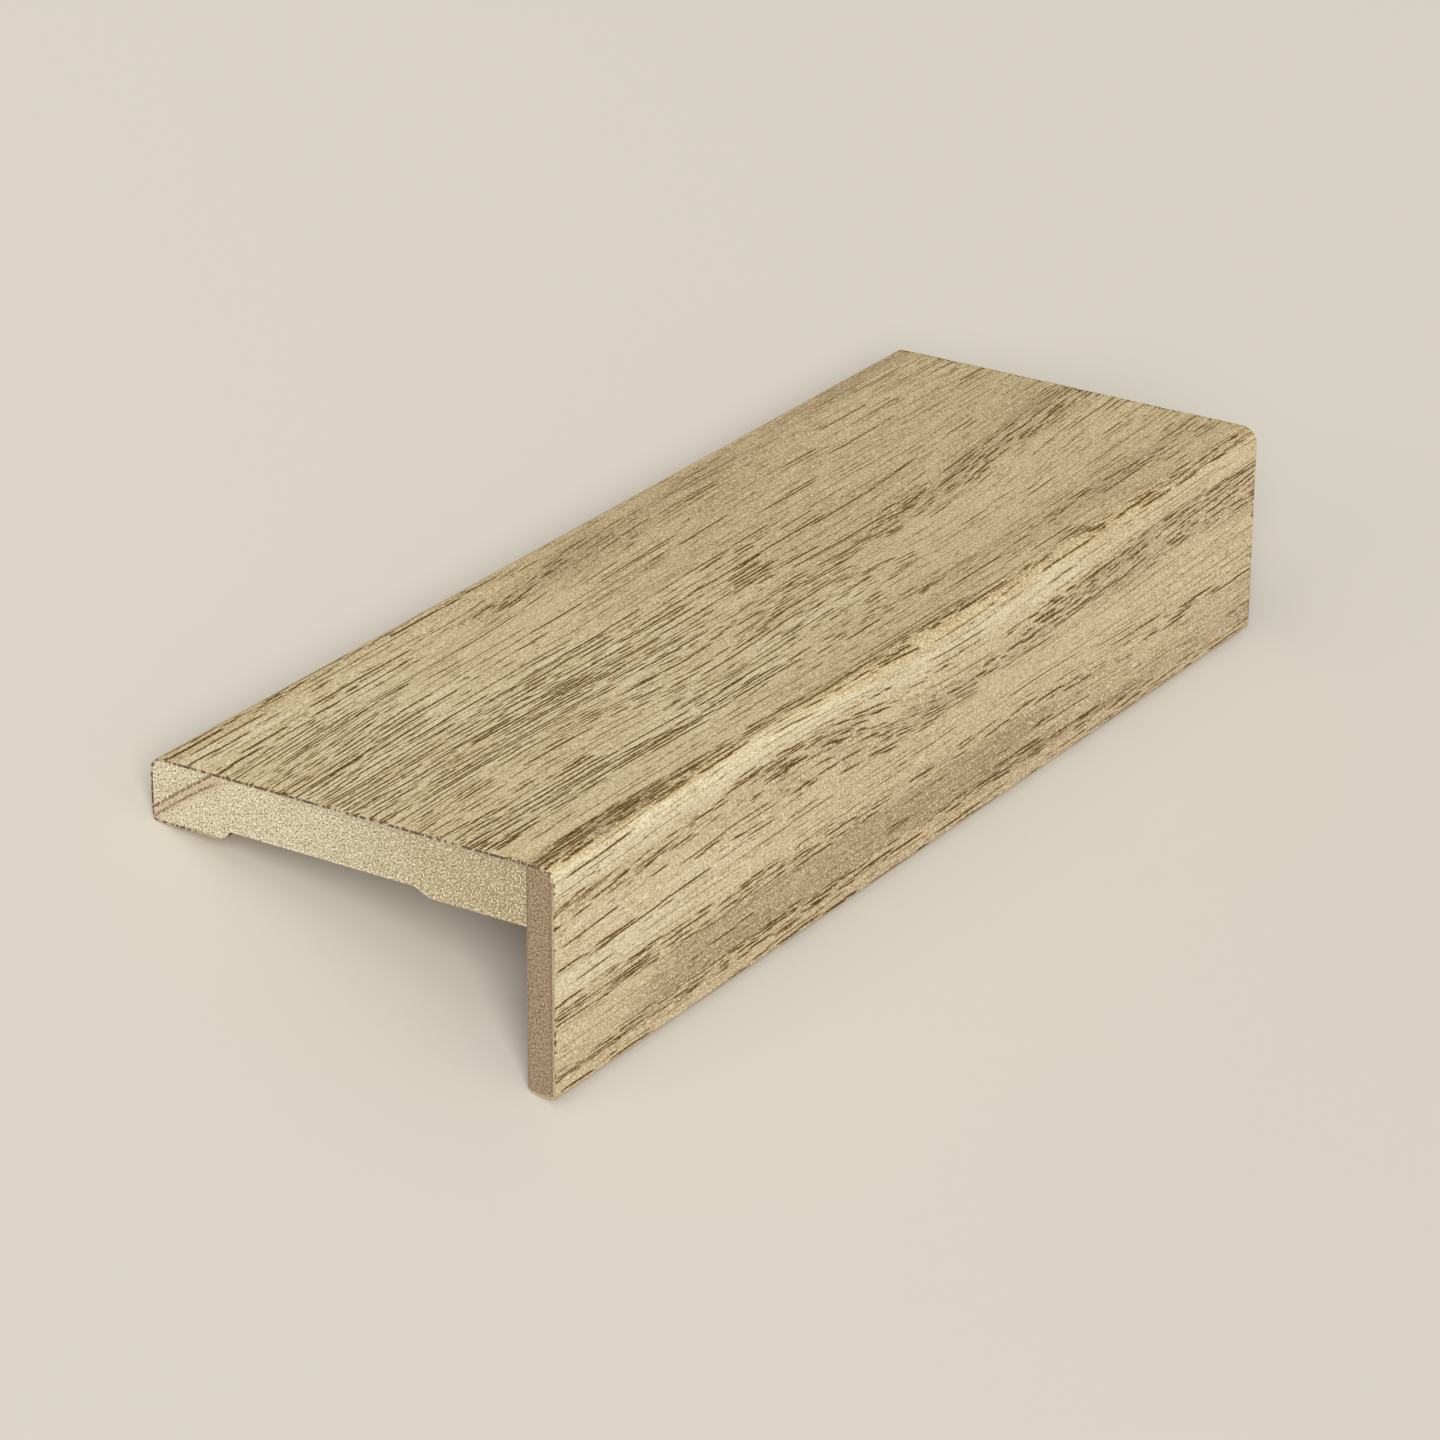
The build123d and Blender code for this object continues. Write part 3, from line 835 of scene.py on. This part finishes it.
# ------------------------------------------------------------------ materials
class Tree:
    def __init__(self, name):
        self.mat = bpy.data.materials.new(name)
        self.mat.use_nodes = True
        self.nt = self.mat.node_tree
        self.nt.nodes.clear()
        self.out = self.nt.nodes.new("ShaderNodeOutputMaterial")
        self.bsdf = self.nt.nodes.new("ShaderNodeBsdfPrincipled")
        self.nt.links.new(self.bsdf.outputs[0], self.out.inputs[0])

    def put(self, node, key, value):
        if value is None:
            return
        sock = node.inputs[key]
        if isinstance(value, bpy.types.NodeSocket):
            self.nt.links.new(value, sock)
        else:
            sock.default_value = value

    def attr(self, name):
        n = self.nt.nodes.new("ShaderNodeAttribute")
        n.attribute_name = name
        return n

    def split(self, sock):
        n = self.nt.nodes.new("ShaderNodeSeparateXYZ")
        self.put(n, 0, sock)
        return n.outputs[0], n.outputs[1], n.outputs[2]

    def join(self, x, y, z=0.0):
        n = self.nt.nodes.new("ShaderNodeCombineXYZ")
        for k, q in enumerate((x, y, z)):
            self.put(n, k, q)
        return n.outputs[0]

    def math(self, op, a, b=None, c=None, clamp=False):
        n = self.nt.nodes.new("ShaderNodeMath")
        n.operation = op
        n.use_clamp = clamp
        for k, q in enumerate((a, b, c)):
            self.put(n, k, q)
        return n.outputs[0]

    def mul(self, a, b):
        return self.math("MULTIPLY", a, b)

    def plus(self, a, b):
        return self.math("ADD", a, b)

    def noise(self, vec, detail=2.0, rough=0.5, distortion=0.0):
        n = self.nt.nodes.new("ShaderNodeTexNoise")
        self.put(n, "Vector", vec)
        self.put(n, "Scale", 1.0)
        self.put(n, "Detail", detail)
        self.put(n, "Roughness", rough)
        self.put(n, "Distortion", distortion)
        return n.outputs["Fac"]

    def ramp(self, x, a, b, lo=0.0, hi=1.0):
        n = self.nt.nodes.new("ShaderNodeMapRange")
        n.interpolation_type = "SMOOTHSTEP"
        for key, q in (("Value", x), ("From Min", a), ("From Max", b), ("To Min", lo), ("To Max", hi)):
            self.put(n, key, q)
        return n.outputs[0]

    def mix(self, f, a, b, blend="MIX"):
        n = self.nt.nodes.new("ShaderNodeMix")
        n.data_type = "RGBA"
        n.blend_type = blend
        n.clamp_factor = True
        self.put(n, 0, f)
        self.put(n, 6, a if isinstance(a, bpy.types.NodeSocket) else (*a, 1.0))
        self.put(n, 7, b if isinstance(b, bpy.types.NodeSocket) else (*b, 1.0))
        return n.outputs[2]

    def grey(self, x):
        return self.join(x, x, x)

    def bump(self, height, strength, distance):
        n = self.nt.nodes.new("ShaderNodeBump")
        self.put(n, "Strength", strength)
        self.put(n, "Distance", distance)
        self.put(n, "Height", height)
        return n.outputs[0]


BASE = (0.618, 0.481, 0.266)
CREAM = (0.765, 0.660, 0.435)
BROWN = (0.395, 0.278, 0.146)
PIT = (0.072, 0.029, 0.003)
STAIN = (0.338, 0.196, 0.020)


def veneer_material():
    t = Tree("veneer_oak")
    u, v, s = t.split(t.attr("grain").outputs["Vector"])
    tone, dens, pore = t.split(t.attr("look").outputs["Vector"])
    drift = t.plus(u, t.mul(v, 0.02))
    # fine fibre streaks and wider ones
    f1 = t.noise(t.join(t.mul(drift, 2.3), t.mul(v, 0.075)), 2.0, 0.6)
    f2 = t.noise(t.join(t.mul(u, 0.9), t.mul(v, 0.018), 3.0), 2.0, 0.5)
    f3 = t.noise(t.join(t.mul(u, 0.25), t.mul(v, 0.012), 9.0), 2.0, 0.5)
    k = t.plus(t.mul(tone, 0.55), t.mul(t.plus(f2, -0.5), 0.75))
    k = t.plus(k, t.mul(t.plus(f3, -0.5), 0.45))
    k = t.plus(k, t.mul(t.plus(f1, -0.5), 1.7))
    k = t.plus(k, t.mul(dens, -0.05))
    up = t.ramp(k, 0.0, 0.75)
    down = t.ramp(t.mul(k, -1.0), 0.0, 0.85)
    col = t.mix(up, BASE, CREAM)
    col = t.mix(down, col, BROWN)
    # short fine pores drawn between the real grooves
    p1 = t.noise(t.join(t.mul(drift, 2.2), t.mul(v, 0.17), 17.0), 1.5, 0.5)
    th1 = t.plus(0.700, t.mul(dens, -0.15))
    m1 = t.ramp(p1, th1, t.plus(th1, 0.07))
    p2 = t.noise(t.join(t.mul(drift, 5.2), t.mul(v, 0.42), 29.0), 1.0, 0.5)
    th2 = t.plus(0.755, t.mul(dens, -0.13))
    m2 = t.ramp(p2, th2, t.plus(th2, 0.06))
    m = t.math("MAXIMUM", t.mul(m1, 0.80), t.mul(m2, 0.6))
    groove = t.ramp(pore, 0.15, 0.50)
    # the wood beside an open pore takes up more stain
    col = t.mix(t.mul(t.ramp(pore, 0.05, 0.34), 0.64), col, STAIN)
    # grooves break up a little along their length
    br = t.noise(t.join(t.mul(u, 1.2), t.mul(v, 0.9), 5.0), 2.0, 0.6)
    groove = t.mul(groove, t.ramp(br, 0.30, 0.52, 0.50, 1.0))
    mask = t.math("MAXIMUM", m, groove)
    # long hair-thin lines
    p3 = t.noise(t.join(t.mul(t.plus(u, t.mul(v, 0.012)), 1.9), t.mul(v, 0.022), 53.0), 2.0, 0.55)
    hair = t.ramp(t.math("ABSOLUTE", t.plus(p3, -0.58)), 0.010, 0.0)
    hair = t.mul(hair, t.ramp(t.noise(t.join(t.mul(u, 0.5), t.mul(v, 0.05), 57.0), 1.0, 0.5), 0.44, 0.60))
    mask = t.math("MAXIMUM", mask, t.mul(hair, 0.5))
    # the front is a little less yellow than the deck
    col = t.mix(t.ramp(s, 129.0, 134.0, 0.0, 0.042), col, (0.62, 0.62, 1.0))
    col = t.mix(t.mul(mask, 0.94), col, PIT)
    # the speckle of the lacquered surface
    across = t.plus(t.mul(u, 2.45), t.mul(v, 0.55))
    along = t.plus(t.mul(v, 1.25), t.mul(u, -1.32))
    sp = t.noise(t.join(across, along, t.mul(s, 0.31)), 2.0, 0.7, 0.35)
    free = t.math("SUBTRACT", 1.0, t.mul(mask, 0.85))  # the pores stay dark
    col = t.mix(t.mul(t.ramp(sp, 0.51, 0.65, 0.0, 0.60), free), col, (0.98, 0.87, 0.61))
    col = t.mix(t.ramp(sp, 0.49, 0.35, 0.0, 0.52), col, (0.240, 0.146, 0.036))
    t.put(t.bsdf, "Base Color", col)
    t.put(t.bsdf, "Roughness", t.plus(0.55, t.mul(mask, 0.38)))
    t.put(t.bsdf, "Specular IOR Level", t.mul(free, 0.13))
    h = t.plus(t.mul(m, -0.6), t.mul(f1, 0.25))
    h = t.plus(h, t.mul(sp, 0.12))
    t.put(t.bsdf, "Normal", t.bump(h, 0.5, 0.00008))
    return t.mat


def veneer_edge():
    """The sheet's own cut edge, torn into short dark dashes where it meets the glue."""
    t = Tree("veneer_cut_edge")
    u, v, s = t.split(t.attr("grain").outputs["Vector"])
    deep = t.attr("through").outputs["Fac"]
    along = t.plus(s, t.mul(v, 1.0))
    d1 = t.noise(t.join(t.mul(along, 0.85), 0.0, 2.0), 2.0, 0.7)
    d3 = t.noise(t.join(t.mul(along, 0.11), 4.0, 0.0), 1.0, 0.5)
    d2 = t.noise(t.join(t.mul(along, 3.0), t.mul(deep, 2.0), 8.0), 2.0, 0.6)
    th = t.plus(0.42, t.mul(t.ramp(d3, 0.40, 0.62), 0.08))
    dash = t.mul(t.ramp(d1, th, t.plus(th, 0.04)), t.ramp(deep, -0.10, 0.16))
    # strongest round the rear edge and over the deck, faint down the front
    where = t.ramp(s, 128.0, 134.0, 1.0, 0.22)
    where = t.math("MINIMUM", where, t.ramp(s, 4.0, 10.0, 0.1, 1.0))
    dash = t.mul(dash, where)
    col = t.mix(t.ramp(d2, 0.3, 0.7), (0.30, 0.215, 0.125), (0.50, 0.395, 0.25))
    col = t.mix(t.mul(dash, 0.92), col, (0.062, 0.036, 0.022))
    t.put(t.bsdf, "Base Color", col)
    t.put(t.bsdf, "Roughness", t.plus(0.75, t.mul(dash, 0.1)))
    t.put(t.bsdf, "Normal", t.bump(t.plus(t.mul(dash, -1.0), d2), 0.5, 0.0001))
    return t.mat


def veneer_back():
    t = Tree("veneer_glue_side")
    u, v, s = t.split(t.attr("grain").outputs["Vector"])
    a = t.noise(t.join(t.mul(u, 1.5), t.mul(v, 0.08)), 3.0, 0.6)
    col = t.mix(t.ramp(a, 0.3, 0.7), (0.35, 0.26, 0.16), (0.48, 0.37, 0.24))
    t.put(t.bsdf, "Base Color", col)
    t.put(t.bsdf, "Roughness", t.ramp(a, 0.3, 0.7, 0.7, 0.85))
    return t.mat


def board_material():
    t = Tree("board_wood")
    x, z, v = t.split(t.attr("sec").outputs["Vector"])
    pit = t.attr("pit").outputs["Fac"]
    is_side = t.mul(t.ramp(v, 0.15, 0.4), t.ramp(v, LENGTH - 0.15, LENGTH - 0.4))
    # end: fine granular fibre ends
    g1 = t.noise(t.join(t.plus(t.mul(x, 2.2), t.mul(z, 0.6)), t.plus(t.mul(z, 2.2), t.mul(x, -0.6)), 1.0), 2.0, 0.75, 0.3)
    g2 = t.noise(t.join(t.mul(x, 3.7), t.mul(z, 3.7), 5.0), 1.0, 0.65)
    g3 = t.noise(t.join(t.mul(x, 0.10), t.mul(z, 0.25), 9.0), 2.0, 0.5)
    pale = t.mix(t.ramp(g3, 0.3, 0.7), (0.535, 0.465, 0.326), (0.58, 0.512, 0.367))
    warm = t.mix(t.ramp(g3, 0.3, 0.7), (0.345, 0.272, 0.152), (0.385, 0.307, 0.176))
    col = t.mix(t.ramp(x, 25.0, 95.0), pale, warm)
    speck = t.math("MAXIMUM", t.ramp(g1, 0.54, 0.61), t.mul(t.ramp(g2, 0.56, 0.64), 0.9))
    col = t.mix(t.mul(speck, 0.92), col, (0.165, 0.118, 0.062))
    light = t.ramp(g1, 0.46, 0.38)
    col = t.mix(t.mul(light, 0.78), col, (0.83, 0.755, 0.55))
    # painted shade: the deeper pits of the sawn end are darkened
    col = t.mix(t.ramp(pit, 0.06, 0.16, 0.0, 0.35), col, (0.25, 0.18, 0.11))
    # growth rings crossing the rear corner, and fainter ones beyond
    jag = t.mul(t.plus(t.noise(t.join(t.mul(x, 1.6), t.mul(z, 0.6), 3.0), 3.0, 0.7), -0.5), 1.5)
    up1 = t.plus(t.mul(x, 0.735), 39.0)
    up1 = t.plus(up1, t.mul(t.mul(x, x), -0.0015))
    d1 = t.math("ABSOLUTE", t.plus(t.math("SUBTRACT", z, up1), jag))
    r1 = t.ramp(d1, 0.60, 0.14)
    up2 = t.plus(t.mul(x, 0.79), 36.9)
    up2 = t.plus(up2, t.mul(t.mul(x, x), -0.0062))
    d2 = t.math("ABSOLUTE", t.plus(t.math("SUBTRACT", z, up2), jag))
    r2 = t.mul(t.ramp(d2, 0.58, 0.10), t.ramp(x, 18.5, 15.0))
    between = t.mul(t.ramp(t.math("SUBTRACT", z, up2), -0.5, 0.5), t.ramp(t.math("SUBTRACT", up1, z), -0.3, 0.3))
    col = t.mix(t.mul(between, 0.50), col, (0.44, 0.31, 0.195))
    d3 = t.math("SUBTRACT", up2, z)
    below = t.mul(t.ramp(d3, 2.2, 0.2), t.ramp(d3, -0.2, 0.2))
    col = t.mix(t.mul(below, 0.42), col, (0.42, 0.29, 0.175))
    brk = t.ramp(t.noise(t.join(t.mul(x, 2.2), t.mul(z, 1.0), 12.0), 2.0, 0.6), 0.36, 0.56, 0.25, 1.0)
    ring = t.mul(t.math("MAXIMUM", r1, t.mul(r2, 0.92)), brk)
    col = t.mix(t.mul(ring, 0.94), col, (0.118, 0.068, 0.038))
    # painted shadow: a dull grey line under the deck edge, just below the veneer
    col = t.mix(t.mul(t.mul(t.ramp(z, TOP - 1.5, TOP - 0.1), t.ramp(x, 14.0, 40.0)), 0.30), col, (0.30, 0.25, 0.175))
    # planed underside, grain along the length
    l1 = t.noise(t.join(t.mul(x, 2.2), t.mul(v, 0.035), 2.0), 4.0, 0.62)
    l2 = t.noise(t.join(t.mul(x, 0.35), t.mul(v, 0.010), 6.0), 2.0, 0.5)
    sidecol = t.mix(t.ramp(l1, 0.30, 0.70), (0.40, 0.30, 0.175), (0.60, 0.49, 0.32))
    sidecol = t.mix(t.ramp(l2, 0.35, 0.75, 0.0, 0.45), sidecol, (0.46, 0.34, 0.20))
    q = t.noise(t.join(t.mul(x, 4.0), t.mul(v, 0.25), 11.0), 2.0, 0.5)
    sidecol = t.mix(t.ramp(q, 0.60, 0.72, 0.0, 0.6), sidecol, (0.24, 0.165, 0.10))
    # painted shade: the steep side of the channel, which faces down into shade, is painted near black
    riser_shade = t.mul(t.ramp(x, 18.5, 18.9), t.ramp(x, 20.3, 19.9))
    riser_shade = t.mul(riser_shade, t.ramp(z, LAND + 2.4, LAND + 1.9))
    col = t.mix(is_side, col, sidecol)
    # painted shade, near black, on the channel's steep side
    col = t.mix(t.mul(t.mul(riser_shade, is_side), 0.85), col, (0.050, 0.030, 0.018))
    t.put(t.bsdf, "Base Color", col)
    t.put(t.bsdf, "Roughness", t.ramp(g1, 0.3, 0.7, 0.78, 0.92))
    t.put(t.bsdf, "Specular IOR Level", 0.25)
    h_end = t.plus(t.mul(speck, -0.7), t.mul(ring, -0.8))
    h_side = t.plus(l1, t.mul(q, -0.5))
    h = t.plus(t.mul(h_end, t.math("SUBTRACT", 1.0, is_side)), t.mul(h_side, is_side))
    t.put(t.bsdf, "Normal", t.bump(h, 0.5, 0.00012))
    return t.mat


def strip_material():
    t = Tree("fibreboard")
    x, z, v = t.split(t.attr("sec").outputs["Vector"])
    pit = t.attr("pit").outputs["Fac"]
    vv = t.mul(v, 1.6)
    g1 = t.noise(t.join(t.mul(x, 2.6), t.mul(z, 1.9), vv), 2.0, 0.7)
    g2 = t.noise(t.join(t.mul(x, 3.4), t.mul(z, 3.0), vv), 1.0, 0.65)
    g3 = t.noise(t.join(t.mul(x, 0.5), t.mul(z, 0.14), t.mul(v, 0.03)), 2.0, 0.5)
    col = t.mix(t.ramp(g1, 0.36, 0.64), (0.105, 0.069, 0.041), (0.375, 0.270, 0.170))
    col = t.mix(t.ramp(g3, 0.3, 0.7, 0.0, 0.35), col, (0.29, 0.205, 0.122))
    col = t.mix(t.ramp(g2, 0.54, 0.66, 0.0, 0.60), col, (0.52, 0.41, 0.28))
    col = t.mix(t.ramp(g2, 0.46, 0.34, 0.0, 0.60), col, (0.10, 0.065, 0.040))
    # denser, darker skins at both faces and the glue line at the joint
    wob = t.mul(t.plus(g1, -0.5), 0.5)
    outer_skin = t.ramp(t.plus(x, wob), S_FRONT - 1.1, S_FRONT - 0.1)
    inner_skin = t.ramp(t.plus(x, wob), B_FRONT + 0.9, B_FRONT + 0.1)
    skin = t.math("MAXIMUM", outer_skin, t.mul(inner_skin, 0.8))
    col = t.mix(t.mul(skin, 0.45), col, (0.150, 0.100, 0.062))
    glue = t.mul(t.ramp(x, B_FRONT + 0.28, B_FRONT + 0.12), t.ramp(z, LAND - 0.3, LAND + 0.1))
    col = t.mix(t.mul(glue, 0.75), col, (0.13, 0.085, 0.05))
    # painted shade: the deeper pits of the sawn end are darkened
    col = t.mix(t.ramp(pit, 0.04, 0.10, 0.0, 0.35), col, (0.16, 0.10, 0.06))
    t.put(t.bsdf, "Base Color", col)
    t.put(t.bsdf, "Roughness", t.ramp(g1, 0.3, 0.7, 0.75, 0.92))
    t.put(t.bsdf, "Specular IOR Level", 0.25)
    t.put(t.bsdf, "Normal", t.bump(t.plus(g1, t.mul(g2, 0.6)), 0.5, 0.00012))
    return t.mat


for m in (veneer_material(), veneer_edge(), veneer_back()):
    wrap.data.materials.append(m)
board.data.materials.append(board_material())
lip.data.materials.append(strip_material())

for piece, node, slot in ((wrap, "veneer_wrap", "veneer"), (board, "deck_board", "board"), (lip, "front_strip", "fibreboard")):
    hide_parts(node)
    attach(piece, "root")

# ------------------------------------------------------------------ floor, light, camera
scene = bpy.context.scene
R = 14.0
floor_me = bpy.data.meshes.new("floor")
ring = [(R * math.cos(a), R * math.sin(a), 0.0) for a in np.linspace(0, 2 * math.pi, 97)[:-1]]
floor_me.from_pydata(ring, [], [tuple(range(len(ring)))])
floor = bpy.data.objects.new("floor", floor_me)
scene.collection.objects.link(floor)
ft = Tree("pale_floor")
fn = ft.noise(ft.attr("position").outputs["Vector"], 2.0, 0.5)
ft.put(ft.bsdf, "Base Color", ft.mix(ft.ramp(fn, 0.2, 0.8), (0.668, 0.626, 0.546), (0.673, 0.631, 0.550)))
ft.put(ft.bsdf, "Roughness", 0.9)
ft.put(ft.bsdf, "Specular IOR Level", 0.1)
floor_me.materials.append(ft.mat)

w = bpy.data.worlds.new("studio")
scene.world = w
w.use_nodes = True
bg = w.node_tree.nodes["Background"]
bg.inputs[0].default_value = (1.0, 0.985, 0.955, 1.0)
bg.inputs[1].default_value = 0.38
# the backdrop beyond the floor is as pale as the floor, and lights nothing
behind = w.node_tree.nodes.new("ShaderNodeBackground")
behind.inputs[0].default_value = (0.625, 0.577, 0.500, 1.0)
seen = w.node_tree.nodes.new("ShaderNodeLightPath")
pick = w.node_tree.nodes.new("ShaderNodeMixShader")
w.node_tree.links.new(seen.outputs["Is Camera Ray"], pick.inputs[0])
w.node_tree.links.new(bg.outputs[0], pick.inputs[1])
w.node_tree.links.new(behind.outputs[0], pick.inputs[2])
w.node_tree.links.new(pick.outputs[0], w.node_tree.nodes["World Output"].inputs[0])

centre = Vector((0.0, 0.0, 0.02))


def area(name, towards, distance, size, power, colour=(1, 1, 1)):
    d = Vector(towards).normalized()
    lamp = bpy.data.lights.new(name, "AREA")
    lamp.shape = "DISK"
    lamp.size = size
    lamp.energy = power
    lamp.color = colour
    ob = bpy.data.objects.new(name, lamp)
    ob.location = centre + d * distance
    ob.rotation_mode = "QUATERNION"
    ob.rotation_quaternion = (-d).to_track_quat("-Z", "Y")
    scene.collection.objects.link(ob)
    return ob


# a broad soft key, so far off that the floor is evenly lit
key = bpy.data.lights.new("key", "SUN")
key.energy = 2.86
key.angle = math.radians(34.0)
key_ob = bpy.data.objects.new("key", key)
key_ob.rotation_mode = "QUATERNION"
key_ob.rotation_quaternion = Vector((-0.37, 0.71, -0.60)).to_track_quat("-Z", "Y")
key_ob.location = (1.3, -2.6, 2.2)
scene.collection.objects.link(key_ob)
area("low_fill", (-0.25, -0.90, 0.36), 3.2, 1.6, 13.0)
area("top_left", (-0.35, -0.45, 0.82), 3.2, 1.8, 11.0)

cam_data = bpy.data.cameras.new("camera")
cam_data.sensor_width = 36.0
cam_data.lens = 141.8935590047565
cam_data.clip_start, cam_data.clip_end = 0.02, 60.0
cam = bpy.data.objects.new("camera", cam_data)
right = Vector((0.7806920011966342, 0.5437556435966177, 0.30797694609243526))
up = Vector((-0.5387038476632118, 0.33580142995227075, 0.7726807647113141))
ahead = Vector((-0.31673042762015424, 0.7691340583401819, -0.5550807477482136))
rot = Matrix((right, up, -ahead)).transposed()
cam.matrix_world = Matrix.Translation(
    Vector((0.39787260924347225, -0.9714416890490584, 0.6976417362180667))
) @ rot.to_4x4()
scene.collection.objects.link(cam)
scene.camera = cam
scene.view_settings.view_transform = "Standard"
scene.cycles.denoising_prefilter = "NONE"
